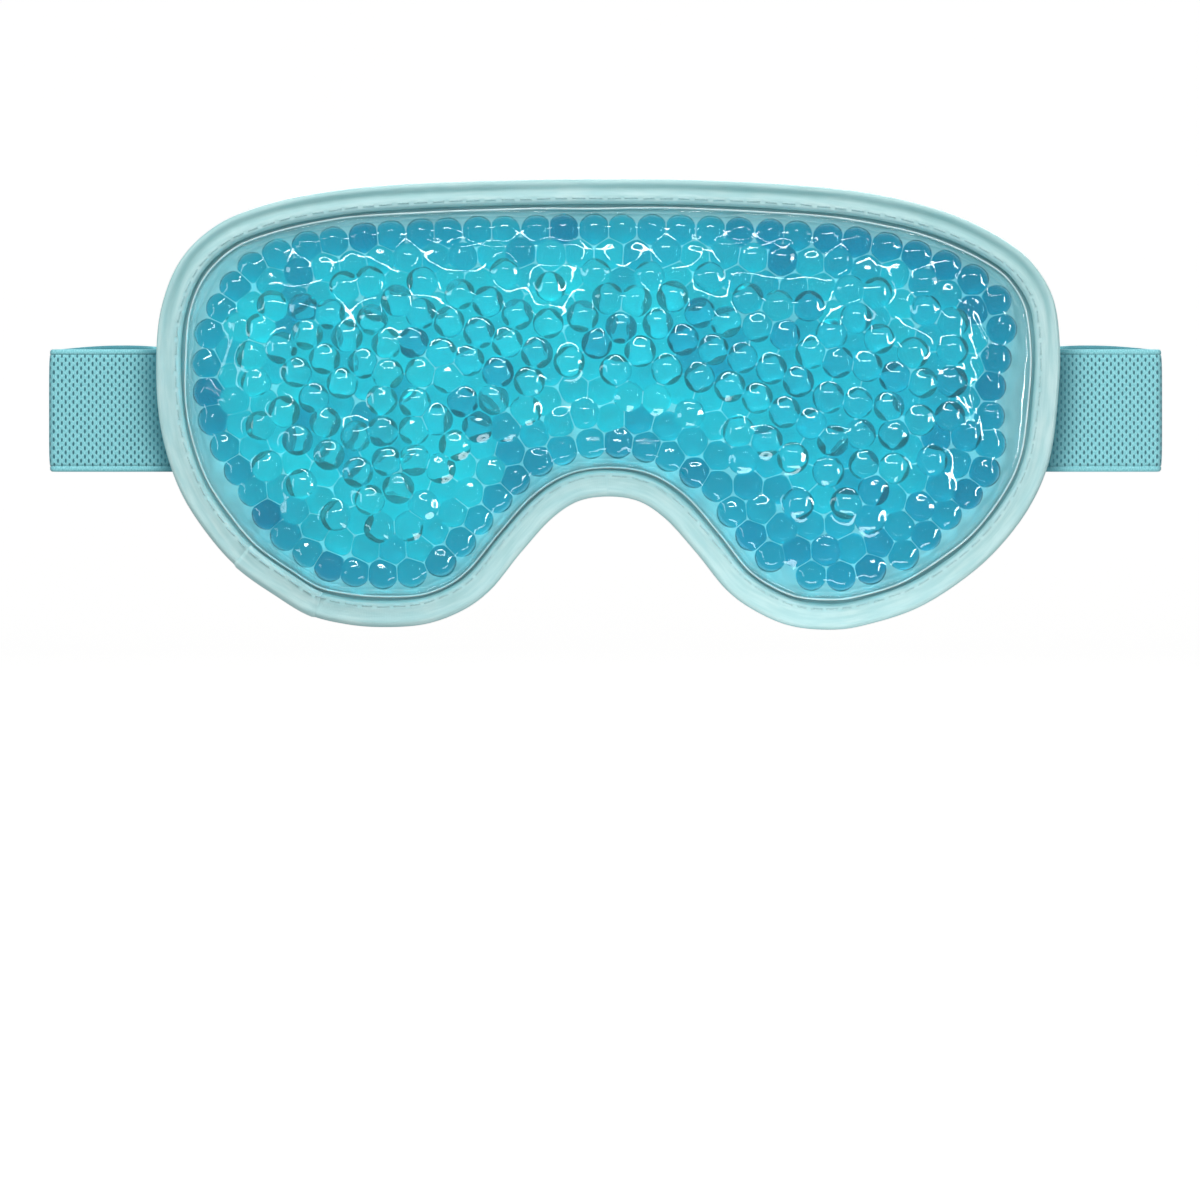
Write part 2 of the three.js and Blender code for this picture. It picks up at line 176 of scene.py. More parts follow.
def inside(x, z):
    """Distance in from the outline, negative outside it, and the nearest station's index."""
    flat_x, flat_z = np.ravel(x), np.ravel(z)
    depth, nearest = np.empty(flat_x.size), np.empty(flat_x.size, int)
    for k, (px, pz) in enumerate(zip(flat_x, flat_z)):
        _, i, _ = _tree.find((px, pz, 0))
        nearest[k] = i
        depth[k] = (px - RING[i, 0]) * INWARD[i, 0] + (pz - RING[i, 1]) * INWARD[i, 1]
    return depth.reshape(np.shape(x)), nearest.reshape(np.shape(x))


def smooth(t):
    t = np.clip(t, 0, 1)
    return t * t * (3 - 2 * t)


def waves(points, scale, seed, octaves=3):
    """Smooth repeatable noise in about -1..1: a few sine waves in seeded directions."""
    local = np.random.default_rng(seed)
    total = np.zeros(len(points))
    for octave in range(octaves):
        for _ in range(4):
            way = local.normal(size=points.shape[1])
            way /= np.linalg.norm(way)
            total += np.sin(points @ way * (2 ** octave) * 2 * math.pi / scale
                            + local.uniform(0, 2 * math.pi)) / 2 ** octave
    return total / 4.5


def grid_waves(x, z, scale, seed, octaves):
    """The same noise over a grid of points."""
    return waves(np.stack([x.ravel(), z.ravel()], 1), scale, seed, octaves).reshape(x.shape)


# -------- meshes
def make_mesh(name, verts_mm, faces, material):
    data = bpy.data.meshes.new(name)
    data.from_pydata((np.asarray(verts_mm, float) * MM).tolist(), [], faces)
    data.validate()
    data.update()
    piece = bpy.data.objects.new(name, data)
    bpy.context.scene.collection.objects.link(piece)
    data.materials.append(material)
    data.polygons.foreach_set("use_smooth", [True] * len(data.polygons))
    return piece


def loft_faces(rings, sides, wrap=False, caps=True):
    """Faces between rings of points in turn; each end has a cap unless the last ring meets the first."""
    faces = []
    for r in range(rings if wrap else rings - 1):
        base, ahead = r * sides, (r + 1) % rings * sides
        for j in range(sides):
            k = (j + 1) % sides
            faces.append((base + j, base + k, ahead + k, ahead + j))
    if caps and not wrap:
        last = (rings - 1) * sides
        faces += [tuple(range(sides))[::-1], tuple(range(last, last + sides))]
    return faces


def face_out(piece):
    """Turns the faces out, by the sign of the closed mesh's volume."""
    data = piece.data
    data.calc_loop_triangles()
    co = np.array([v.co for v in data.vertices])
    tri = np.array([t.vertices for t in data.loop_triangles])
    volume = np.einsum("ij,ij->i", co[tri[:, 0]], np.cross(co[tri[:, 1]], co[tri[:, 2]])).sum()
    if volume < 0:
        data.flip_normals()
    return piece


def set_uv(piece, uv_per_vertex):
    """A UV map in millimetres, for weaves that follow the cloth."""
    layer = piece.data.uv_layers.new(name="weave")
    loops = np.empty(len(piece.data.loops), int)
    piece.data.loops.foreach_get("vertex_index", loops)
    layer.data.foreach_set("uv", np.asarray(uv_per_vertex, np.float32)[loops].ravel())


def set_shade(piece, values):
    """How dark each point is, 0 to 1, for the materials that read it: painted shade, on the beads mixed
    with random tone.
    """
    attribute = piece.data.attributes.new("shade", "FLOAT", "POINT")
    attribute.data.foreach_set("value", np.asarray(values, np.float32))


def grid_points(inset, pitch):
    """The grid over the pillow: coordinates, how deep each point is inside, and which are in."""
    half_x, half_z = RING[:, 0].max() + 1, np.abs(RING[:, 1]).max() + 1
    xs = np.arange(-half_x, half_x + pitch, pitch)
    zs = np.arange(-half_z, half_z + pitch, pitch)
    x, z = np.meshgrid(xs, zs, indexing="ij")
    depth, nearest = inside(x, z)
    return x, z, depth, nearest, depth > inset


def slab(name, grid, front_y, back_y, material):
    """A closed sheet over the grid's points that are in, between two surfaces."""
    x, z, _, _, use = grid
    cell = use[:-1, :-1] & use[1:, :-1] & use[:-1, 1:] & use[1:, 1:]
    touched = np.zeros_like(use)
    for di in (0, 1):
        for dj in (0, 1):
            touched[di:di + cell.shape[0], dj:dj + cell.shape[1]] |= cell
    count = int(touched.sum())
    number = np.full(use.shape, -1)
    number[touched] = np.arange(count)
    verts = np.concatenate([
        np.stack([x[touched], front_y[touched], z[touched]], 1),
        np.stack([x[touched], back_y[touched], z[touched]], 1)])
    i, j = np.nonzero(cell)
    a, b = number[i, j], number[i + 1, j]
    c, d = number[i + 1, j + 1], number[i, j + 1]
    faces = np.concatenate([np.stack([a, b, c, d], 1), np.stack([d, c, b, a], 1) + count])
    rim = []
    padded = np.pad(cell, 1)
    for di, dj, first, second in ((0, -1, a, b), (1, 0, b, c), (0, 1, c, d), (-1, 0, d, a)):
        open_side = ~padded[i + 1 + di, j + 1 + dj]
        p, q = first[open_side], second[open_side]
        rim.append(np.stack([q, p, p + count, q + count], 1))
    faces = np.concatenate([faces, *rim]).tolist()
    return face_out(make_mesh(name, verts, faces, material))


def ring_sweep(name, section_at, stations, material, closed=True):
    """Sweeps a closed section along the outline: section_at(i) gives rows of (inset, y) in mm."""
    verts = []
    for i in stations:
        section = np.asarray(section_at(i))
        flat = RING[i] + section[:, :1] * INWARD[i]
        verts.append(np.stack([flat[:, 0], section[:, 1], flat[:, 1]], 1))
    faces = loft_faces(len(stations), len(section), wrap=closed)
    return face_out(make_mesh(name, np.concatenate(verts), faces, material))


def capsule(start, end, radius, rings=3, sides=8):
    """Vertices and faces of a round-ended thread segment between two points."""
    start, end = np.array(start, float), np.array(end, float)
    along = end - start
    length = np.linalg.norm(along)
    along /= length
    across = np.cross(along, (0.3, 1.0, 0.2))
    across /= np.linalg.norm(across)
    third = np.cross(along, across)
    verts, faces = [start - along * radius * 0.9], []
    profile = [(-radius * math.cos(a), radius * math.sin(a))
               for a in np.linspace(0.5, math.pi / 2, rings)]
    profile += [(length - t, r) for t, r in reversed(profile)]
    for t, r in profile:
        for s in range(sides):
            angle = 2 * math.pi * s / sides
            verts.append(start + along * t + r * (math.cos(angle) * across + math.sin(angle) * third))
    verts.append(end + along * radius * 0.9)
    last = len(verts) - 1
    for s in range(sides):
        n = (s + 1) % sides
        faces.append((0, 1 + n, 1 + s))
        for ring in range(len(profile) - 1):
            a, b = 1 + ring * sides + s, 1 + ring * sides + n
            faces.append((a, b, b + sides, a + sides))
        faces.append((last, last - sides + s, last - sides + n))
    return verts, faces


def join_shapes(name, shapes, material):
    verts, faces = [], []
    for v, f in shapes:
        faces += [tuple(k + len(verts) for k in face) for face in f]
        verts += [tuple(p) for p in v]
    return face_out(make_mesh(name, verts, faces, material))


def thread_piece(name, segments, radius, material):
    return join_shapes(name, [capsule(start, end, radius) for start, end in segments], material)


# -------- materials
class Nodes:
    """A short way to write a node tree."""

    def __init__(self, name):
        self.material = bpy.data.materials.new(name)
        self.material.use_nodes = True
        self.tree = self.material.node_tree
        self.tree.nodes.clear()
        self.output = self.add("OutputMaterial")

    def add(self, kind, inputs=None, **settings):
        """A node with its settings; an input is a number, a colour, or the socket that feeds it."""
        node = self.tree.nodes.new("ShaderNode" + kind)
        for key, value in settings.items():
            setattr(node, key, value)
        for key, value in (inputs or {}).items():
            if isinstance(value, bpy.types.NodeSocket):
                self.tree.links.new(value, node.inputs[key])
            else:
                node.inputs[key].default_value = value
        return node

    def math(self, operation, a, b=0.0, c=0.0):
        return self.add("Math", {0: a, 1: b, 2: c}, operation=operation).outputs[0]

    def ramp(self, value, low, high, to_low=0.0, to_high=1.0):
        return self.add("MapRange", {
            "Value": value, "From Min": low, "From Max": high, "To Min": to_low, "To Max": to_high},
            interpolation_type="SMOOTHSTEP").outputs[0]

    def mix(self, factor, a, b, blend_type="MIX"):
        return self.add("Mix", {0: factor, 6: a, 7: b},
                        data_type="RGBA", blend_type=blend_type).outputs[2]

    def noise(self, scale, detail=2.0, vector=None, roughness=0.5):
        inputs = {"Scale": scale, "Detail": detail, "Roughness": roughness}
        if vector is not None:
            inputs["Vector"] = vector
        return self.add("TexNoise", inputs).outputs[0]

    def objects(self):
        return self.add("TexCoord").outputs["Object"]

    def weave(self):
        """The cloth's own coordinates, in millimetres: along, across."""
        uv = self.add("UVMap", uv_map="weave").outputs[0]
        split = self.add("SeparateXYZ", {0: uv})
        return uv, split.outputs[0], split.outputs[1]

    def attribute(self, name):
        return self.add("Attribute", attribute_name=name).outputs["Fac"]

    def bump(self, height, strength, distance):
        inputs = {"Height": height, "Strength": strength, "Distance": distance}
        return self.add("Bump", inputs).outputs[0]

    def wave(self, value, period):
        """A sine wave of a coordinate, with its period in the coordinate's own unit."""
        return self.math("SINE", self.math("MULTIPLY", value, 2 * math.pi / period))

    def surface(self, shader):
        self.tree.links.new(shader.outputs[0], self.output.inputs["Surface"])
        return self.material

    def principled(self, inputs):
        return self.surface(self.add("BsdfPrincipled", inputs))


def rgb(r, g, b):
    return (r, g, b, 1.0)


def film_material():
    n = Nodes("clear_film")
    ripple = n.noise(420, 2.0, n.objects())
    bump = n.bump(ripple, 0.12, 0.0002)
    clear = n.add("BsdfTransparent", {"Color": rgb(0.93, 0.985, 0.99)}).outputs[0]
    gloss = n.add("BsdfGlossy", {
        "Color": rgb(1, 1, 1), "Roughness": 0.06, "Normal": bump}).outputs[0]
    facing = n.add("LayerWeight", {"Blend": 0.5, "Normal": bump}).outputs["Facing"]
    share = n.math("MULTIPLY_ADD", n.math("POWER", facing, 4.0), 0.55, 0.03)
    return n.surface(n.add("MixShader", {0: share, 1: clear, 2: gloss}))


def backing_material():
    n = Nodes("backing_film")
    mottle = n.ramp(n.noise(60, 3.0, n.objects()), 0.35, 0.7)
    tint = n.mix(mottle, rgb(0.30, 0.62, 0.67), rgb(0.40, 0.72, 0.76))
    bump = n.bump(n.noise(900, 2.0, n.objects()), 0.15, 0.0002)
    return n.principled({
        "Base Color": tint, "Roughness": 0.32, "Coat Weight": 0.4, "Coat Roughness": 0.12,
        "Normal": bump})


def bead_material():
    n = Nodes("gel_bead")
    shade = n.attribute("shade")
    # Beads darken by their shade attribute: painted shade mixed with random tone.
    tint = n.mix(shade, rgb(0.17, 0.95, 0.98), rgb(0.008, 0.52, 0.68))
    absorb = n.add("VolumeAbsorption", {
        "Color": rgb(0.0, 0.935, 0.950), "Density": 350.0}).outputs[0]
    n.tree.links.new(absorb, n.output.inputs["Volume"])
    return n.principled({
        "Base Color": tint, "Roughness": 0.02, "IOR": 1.29, "Transmission Weight": 0.90})


def weld_material():
    n = Nodes("film_weld")
    tint = n.mix(n.noise(300, 2.0, n.objects()), rgb(0.62, 0.90, 0.92), rgb(0.85, 0.98, 0.98))
    return n.principled({
        "Base Color": tint, "Roughness": 0.12, "IOR": 1.5, "Coat Weight": 0.6,
        "Coat Roughness": 0.05})


def fabric_material():
    n = Nodes("satin_knit")
    where = n.objects()
    cloud = n.ramp(n.noise(22, 3.0, where), 0.3, 0.7)
    tint = n.mix(cloud, rgb(0.115, 0.56, 0.70), rgb(0.165, 0.65, 0.77))
    split = n.add("SeparateXYZ", {0: where})
    knit = n.math("MULTIPLY", n.wave(split.outputs[0], 0.00062), n.wave(split.outputs[2], 0.00048))
    fibre = n.noise(5200, 2.0, where)
    height = n.math("MULTIPLY_ADD", knit, 0.35, fibre)
    # Painted shade in the knit's low points and painted highlight on its crests.
    shade = n.mix(n.ramp(height, 0.1, 0.95), rgb(0.78, 0.86, 0.9), rgb(1.05, 1.04, 1.03))
    return n.principled({
        "Base Color": n.mix(1.0, tint, shade, "MULTIPLY"), "Roughness": 0.62, "Sheen Weight": 0.45,
        "Sheen Roughness": 0.4, "Sheen Tint": rgb(0.75, 0.95, 1.0),
        "Normal": n.bump(height, 0.35, 0.0002)})


def tape_material():
    n = Nodes("satin_tape")
    uv, along, across = n.weave()
    weave = n.math("MULTIPLY_ADD", n.wave(along, 0.42), 0.5, n.wave(across, 0.30))
    stretched = n.add("Mapping", {"Vector": uv, "Scale": (0.10, 0.9, 1.0)}).outputs[0]
    streak = n.ramp(n.noise(1.0, 3.0, stretched), 0.3, 0.7)
    cloud = n.ramp(n.noise(0.09, 2.0, uv), 0.3, 0.7)
    tint = n.mix(streak, rgb(0.47, 0.78, 0.79), rgb(0.63, 0.90, 0.90))
    tint = n.mix(n.math("MULTIPLY", cloud, 0.45), tint, rgb(0.48, 0.82, 0.85))
    # Painted shade from the tape's shade attribute.
    tint = n.mix(n.attribute("shade"), tint, rgb(0.13, 0.41, 0.42))
    height = n.math("MULTIPLY_ADD", weave, 0.25, n.noise(3.0, 2.0, uv))
    return n.principled({
        "Base Color": tint, "Roughness": 0.40, "Sheen Weight": 0.25, "Sheen Roughness": 0.35,
        "Sheen Tint": rgb(0.9, 1.0, 1.0), "Normal": n.bump(height, 0.25, 0.00012)})


def thread_material():
    n = Nodes("thread")
    ply = n.math("SINE", n.math("MULTIPLY", n.noise(2600, 1.0, n.objects()), 30.0))
    tint = n.mix(n.ramp(ply, -1, 1), rgb(0.36, 0.64, 0.66), rgb(0.56, 0.82, 0.83))
    return n.principled({
        "Base Color": tint, "Roughness": 0.55, "Sheen Weight": 0.2,
        "Normal": n.bump(ply, 0.3, 0.0001)})


def elastic_material():
    """Knitted elastic: staggered slits, painted dark as painted shade, between light wales, plain
    selvedges.
    """
    n = Nodes("knit_elastic")
    uv, along, across = n.weave()
    column = n.math("DIVIDE", along, KNIT_COLUMN)
    odd = n.math("MODULO", n.math("ABSOLUTE", n.math("FLOOR", column)), 2.0)
    row = n.math("MULTIPLY_ADD", odd, 0.5, n.math("DIVIDE", across, KNIT_ROW))
    reach = []
    for place, half in ((column, 0.30), (row, 0.29)):
        off = n.math("ABSOLUTE", n.math("SUBTRACT", n.math("FRACT", place), 0.5))
        reach.append(n.math("POWER", n.math("DIVIDE", off, half), 2.0))
    from_middle = n.math("ABSOLUTE", across)
    selvedge = n.ramp(from_middle, 13.3, 14.0)
    hole = n.ramp(n.math("ADD", *reach), 0.30, 1.20, 1.0, 0.0)
    hole = n.math("MULTIPLY", hole, n.math("SUBTRACT", 1.0, selvedge))
    stretched = n.add("Mapping", {"Vector": uv, "Scale": (2.0, 0.7, 1.0)}).outputs[0]
    fibre = n.noise(2.4, 3.0, stretched)
    light = n.mix(n.ramp(fibre, 0.3, 0.7), rgb(0.20, 0.66, 0.73), rgb(0.38, 0.87, 0.94))
    # The slits are painted dark: painted shade in the knit's openings.
    tint = n.mix(n.math("MULTIPLY", hole, 0.95), light, rgb(0.025, 0.17, 0.22))
    # Painted shade from the strap's shade attribute.
    tint = n.mix(n.math("MULTIPLY", n.attribute("shade"), 0.80), tint, rgb(0.03, 0.22, 0.28))
    groove = n.ramp(n.math("ABSOLUTE", n.math("SUBTRACT", from_middle, 13.6)), 0.0, 0.35)
    height = n.math("MULTIPLY_ADD", fibre, 0.3, n.math("SUBTRACT", groove, hole))
    return n.principled({
        "Base Color": tint, "Roughness": 0.75, "Sheen Weight": 0.3, "Sheen Roughness": 0.5,
        "Sheen Tint": rgb(0.8, 1.0, 1.0), "Normal": n.bump(height, 0.6, 0.0004)})


def hook_material():
    n = Nodes("hook_tape")
    tint = n.mix(n.noise(700, 2.0, n.objects()), rgb(0.20, 0.50, 0.55), rgb(0.36, 0.68, 0.72))
    return n.principled({
        "Base Color": tint, "Roughness": 0.35, "IOR": 1.5, "Transmission Weight": 0.15})


def loop_material():
    n = Nodes("loop_tape")
    fuzz = n.noise(2400, 4.0, n.objects(), 0.7)
    tint = n.mix(n.ramp(fuzz, 0.3, 0.7), rgb(0.16, 0.46, 0.52), rgb(0.42, 0.78, 0.82))
    return n.principled({
        "Base Color": tint, "Roughness": 0.9, "Sheen Weight": 0.7, "Sheen Roughness": 0.5,
        "Normal": n.bump(fuzz, 0.8, 0.0005)})


# -------- pouch
def bead_room(depth):
    """Depth from the backing film to the window, by distance from the outline: one layer, then two."""
    return 2 * BEAD_R + 0.3 + 3.9 * smooth((depth - 14) / 18)


def bead_margin(points_x, points_z):
    """How far in from the outline the beads start: further at the cheek sides."""
    margin = 9.2
    for more, x, z, wide, tall in ((5.5, 100, 2, 16, 15), (3.5, -95, -22, 16, 14),
                                   (3.5, -98, 30, 12, 9), (3.0, 88, -30, 12, 10)):
        margin = margin + more * np.exp(-((points_x - x) / wide) ** 2 - ((points_z - z) / tall) ** 2)
    return margin


def pack_beads():
    """Bead centres: scattered in the pouch, then pushed apart and against its walls."""
    back = BACK_FILM_Y[0] - 0.15
    xs = rng.uniform(RING[:, 0].min(), RING[:, 0].max(), 12000)
    zs = rng.uniform(RING[:, 1].min(), RING[:, 1].max(), 12000)
    depth, _ = inside(xs, zs)
    good = depth > bead_margin(xs, zs) + BEAD_R
    xs, zs, depth = xs[good][:BEAD_COUNT], zs[good][:BEAD_COUNT], depth[good][:BEAD_COUNT]
    free = bead_room(depth) - 2 * BEAD_R
    centre = np.stack([xs, back - BEAD_R - free * rng.uniform(0, 1, len(xs)), zs], 1)
    for turn in range(PACK_TURNS):
        gap = centre[:, None] - centre[None]
        reach = np.linalg.norm(gap, axis=2)
        np.fill_diagonal(reach, 99)
        overlap = np.clip(2 * BEAD_R - reach, 0, None)
        push = (gap / reach[:, :, None] * (overlap * 0.42)[:, :, None]).sum(1)
        centre += np.clip(push, -1.2, 1.2)
        if turn < SHAKE_TURNS:
            centre += rng.normal(0, 0.25 * (1 - turn / SHAKE_TURNS), centre.shape)
        depth, nearest = inside(centre[:, 0], centre[:, 2])
        short = np.clip(bead_margin(centre[:, 0], centre[:, 2]) + BEAD_R - depth, 0, 3)
        centre[:, [0, 2]] += INWARD[nearest] * short[:, None]
        free = bead_room(depth) - 2 * BEAD_R
        centre[:, 1] = np.clip(centre[:, 1], back - BEAD_R - free, back - BEAD_R)
    return centre


def press(height, limit, soft):
    """How far a soft wall at a limit pushes points back: rounded over the first `soft` on each side."""
    over = height - limit
    return np.where(over > soft, over, np.where(over > -soft, (over + soft) ** 2 / (4 * soft), 0))


def film_level(grid, front, x, z):
    """The window film's level above any point, read off its grid."""
    pitch = grid[0][1, 0] - grid[0][0, 0]
    u, v = (x - grid[0][0, 0]) / pitch, (z - grid[1][0, 0]) / pitch
    i, j = np.floor(u).astype(int), np.floor(v).astype(int)
    u, v = u - i, v - j
    return ((1 - u) * (1 - v) * front[i, j] + u * (1 - v) * front[i + 1, j]
            + (1 - u) * v * front[i, j + 1] + u * v * front[i + 1, j + 1])


def build_beads(centre, grid, front, material):
    """Soft beads: each is flattened where it meets its neighbours, the film and the backing."""
    shape = bmesh.new()
    bmesh.ops.create_icosphere(shape, subdivisions=3, radius=1)
    unit = np.array([v.co for v in shape.verts])
    faces = np.array([[v.index for v in f.verts] for f in shape.faces])
    shape.free()
    verts, triangles, shade = [], [], []
    depth, _ = inside(centre[:, 0], centre[:, 2])
    # Painted shade: beads near the rim, in more rows at the lower right, are deeper blue, and the beads
    # darken towards the right, where less light falls.
    low_right = smooth((centre[:, 0] - 20) / 30) * smooth((10 - centre[:, 2]) / 30)
    from_rim = depth - bead_margin(centre[:, 0], centre[:, 2]) - BEAD_R
    rim = 1 - smooth(from_rim / (9 + 14 * low_right))
    painted_shade = 0.5 * rim + 0.20 * smooth((centre[:, 0] - 5) / 40)
    radius = BEAD_SWELL + rng.uniform(-0.12, 0.10, len(centre))
    back = BACK_FILM_Y[0] - 0.12
    for k, place in enumerate(centre):
        turn = np.linalg.qr(rng.normal(size=(3, 3)))[0]
        ball = unit @ turn * radius[k]
        away = centre - place
        reach = np.linalg.norm(away, axis=1)
        for _ in range(2):
            for n in np.nonzero((reach > 0) & (reach < radius + radius[k]))[0]:
                way = away[n] / reach[n]
                wall = (reach[n] ** 2 + radius[k] ** 2 - radius[n] ** 2) / (2 * reach[n]) - BEAD_GAP
                ball -= press(ball @ way, wall, 0.22)[:, None] * way
        ball += place
        ball[:, 1] -= press(ball[:, 1], back, 0.2)
        cover = film_level(grid, front, ball[:, 0], ball[:, 2]) + FILM_T + 0.05
        ball[:, 1] += press(-ball[:, 1], -cover, 0.12)
        verts.append(ball)
        triangles.append(faces + k * len(unit))
        # The shade value is the painted shade plus random tone, with a few beads much darker at random.
        shade_value = np.clip(painted_shade[k] + rng.uniform(0, 0.3) + 0.4 * (rng.uniform() < 0.10), 0, 1)
        shade.append(np.full(len(unit), shade_value))
    piece = make_mesh("gel_beads", np.concatenate(verts), np.concatenate(triangles).tolist(), material)
    set_shade(piece, np.concatenate(shade))
    piece.visible_shadow = False
    return face_out(piece)


def drape_film(grid, centre):
    """The window film stretched over the beads: a membrane held at the weld and kept off the beads."""
    x, z, depth, nearest, use = grid
    pitch = x[1, 0] - x[0, 0]
    skin = BEAD_R + 0.25
    floor = np.zeros_like(x)
    reach = int(skin / pitch) + 1
    for cx, cy, cz in centre:
        i, j = int(round((cx - x[0, 0]) / pitch)), int(round((cz - z[0, 0]) / pitch))
        part = (slice(i - reach, i + reach + 1), slice(j - reach, j + reach + 1))
        square = skin ** 2 - (x[part] - cx) ** 2 - (z[part] - cz) ** 2
        top = np.where(square > 0, np.sqrt(np.abs(square)) - cy + FLANGE_Y, 0)
        floor[part] = np.maximum(floor[part], top)
    free = depth > WELD_INSET
    height = floor.copy()
    for step in range(FILM_STEPS + 2):      # the last two only smooth
        mean = (height[:-2, 1:-1] + height[2:, 1:-1] + height[1:-1, :-2] + height[1:-1, 2:]) / 4
        if step < FILM_STEPS:
            mean = np.maximum(floor[1:-1, 1:-1], mean - FILM_PULL)
        height[1:-1, 1:-1] = mean
        height[~free] = 0
    s = ALONG[nearest]
    clump = smooth(grid_waves(x, z, 60, 5, 2) * 1.6 + 0.3)
    crease = np.sin(s * 2 * math.pi / 3.1 + 2.5 * grid_waves(x, z, 22, 6, 1))
    near_weld = np.exp(-((depth - WELD_INSET - 2.2) / 2.0) ** 2)
    height += np.where(free, 0.16 * crease * clump * near_weld, 0)
    height += np.where(free, 0.05 * grid_waves(x, z, 5.5, 8, 2), 0)
    drift = grid_waves(x, z, 18, 9, 2)
    band = np.exp(-((z + 9) / 5.5) ** 2) * smooth((x + 28) / 14) * smooth((66 - x) / 14)
    height += free * 0.13 * band * np.sin(z * 2 * math.pi / 2.6 + 3.0 * drift)
    crinkle = np.exp(-((x - 87) / 6) ** 2 - ((z - 4) / 14) ** 2)
    height += free * 0.16 * crinkle * np.sin((x + 0.5 * z) * 2 * math.pi / 2.8 + 4.0 * drift)
    radial = np.exp(-((depth - 11.5) / 3.0) ** 2) * smooth((-x - 60) / 20)
    height += free * 0.14 * radial * np.sin(s * 2 * math.pi / 4.3 + 3.0 * drift)
    for (ax, az), (bx, bz), wide, tall in CREASES:
        run = np.array([bx - ax, bz - az])
        t = np.clip(((x - ax) * run[0] + (z - az) * run[1]) / (run @ run), 0, 1)
        off = np.hypot(x - ax - t * run[0], z - az - t * run[1] + 0.8 * np.sin(t * math.pi))
        height += free * tall * np.exp(-(off / wide) ** 2)
    facet = np.minimum(0.577 * (depth - WELD_INSET - 0.2), 1.9) * (x > 80)
    facet *= np.exp(-((z + 1) / 15.0) ** 4)
    height = np.where(free, np.maximum(height, facet), height)
    return FLANGE_Y - np.clip(height, 0, None)


def build_pouch(materials):
    centre = pack_beads()
    grid = grid_points(FILM_INSET, FILM_PITCH)
    front = drape_film(grid, centre)
    beads = build_beads(centre, grid, front, materials["beads"])
    film = slab("window_film", grid, front, front + FILM_T, materials["film"])

    back_grid = grid_points(FILM_INSET, BACKING_PITCH)
    dents = 0.12 * grid_waves(*back_grid[:2], 9, 21, 2)
    backing = slab("backing_film", back_grid, BACK_FILM_Y[0] - 0.05 + dents * 0.5,
                   BACK_FILM_Y[0] + 0.25 + dents * 0.5, materials["backing"])
    return film, beads, backing, build_weld(materials["weld"])


def build_weld(material):
    """The edge of the weld: a fine rounded line that wanders just inside the binding."""
    wander = 0.35 * waves(RING, 45, 31, 2)
    offsets = [(-0.28, 0.0), (-0.16, -0.2), (0.0, -0.27), (0.16, -0.2), (0.28, 0.0), (0.0, 0.1)]

    def section(i):
        middle = WELD_INSET - 1.15 + wander[i]
        return [(middle + u, FLANGE_Y + y) for u, y in offsets]

    return ring_sweep("film_weld", section, range(0, len(RING), 2), material)


def build_fabric(material):
    grid = grid_points(FABRIC_INSET, FABRIC_PITCH)
    x, z, depth, _, use = grid
    puff = 1 - np.exp(-np.clip(depth - 5.5, 0, None) / 7.0)
    soft = 0.18 * grid_waves(x, z, 46, 41, 2) + 0.03 * grid_waves(x, z, 8, 42, 1)
    back = FABRIC_Y[1] - 0.85 + (1.15 + soft) * puff
    front = np.full_like(back, FABRIC_Y[0])
    piece = slab("face_fabric", grid, front, back, material)
    area = float(use.sum()) * (x[1, 0] - x[0, 0]) ** 2 * MM ** 2
    return piece, area


# -------- bound edge
BEND = np.gradient(np.unwrap(np.arctan2(TANGENT[:, 1], TANGENT[:, 0]))) / (PERIMETER / len(RING))
BEND = np.convolve(np.tile(BEND, 3), np.ones(15) / 15, "same")[len(RING):2 * len(RING)]
JOIN_FROM = int(np.argmin(np.hypot(RING[:, 0] + 91.5, RING[:, 1] + 38.4)))
JOIN_TO = int(np.argmin(np.hypot(RING[:, 0] + 71.3, RING[:, 1] + 51.9)))
JOIN_MIDDLE = (JOIN_FROM + JOIN_TO) / 2
FRONT_LINES = np.array([0.0, 0.06, 0.2, 0.42, 0.72, 1.1, 1.5, 1.9, 2.3, 2.8, 3.3, 3.8, 4.3, 4.7, 5.0,
                        5.3, 5.7, 6.0, 6.25, 6.35])
BACK_LINES = np.array([0.06, 0.2, 0.42, 0.72, 1.1, 1.6, 2.2, 2.9, 3.6, 4.2, 4.6, 5.0, 5.5, 5.8, 6.0])
OUTER_LINES = len(FRONT_LINES) + len(BACK_LINES)
MIDDLE_Y = (TAPE_Y[0] + TAPE_Y[1]) / 2
HALF_T = (TAPE_Y[1] - TAPE_Y[0]) / 2
STITCHES = int(round(PERIMETER / STITCH_PITCH))

_gather = waves(RING, 3.4, 51, 2)
_slow = waves(RING, 70, 52, 2)
_mid = waves(RING, 16, 53, 2)
_edge = waves(RING, 30, 54, 2)
_top = smooth((RING[:, 1] - 5) / 30)
_phase = np.mod(ALONG / PERIMETER * STITCHES, 1.0)
_hole = np.exp(-(np.minimum(_phase, 1 - _phase) / 0.16) ** 2)


def near_join(i, reach=9.0):
    """1 over the lapped tape ends, 0 away from them."""
    away = abs(i - JOIN_MIDDLE) * PERIMETER / len(RING)
    half = (JOIN_TO - JOIN_FROM) / 2 * PERIMETER / len(RING)
    return float(smooth((half + reach - away) / reach))


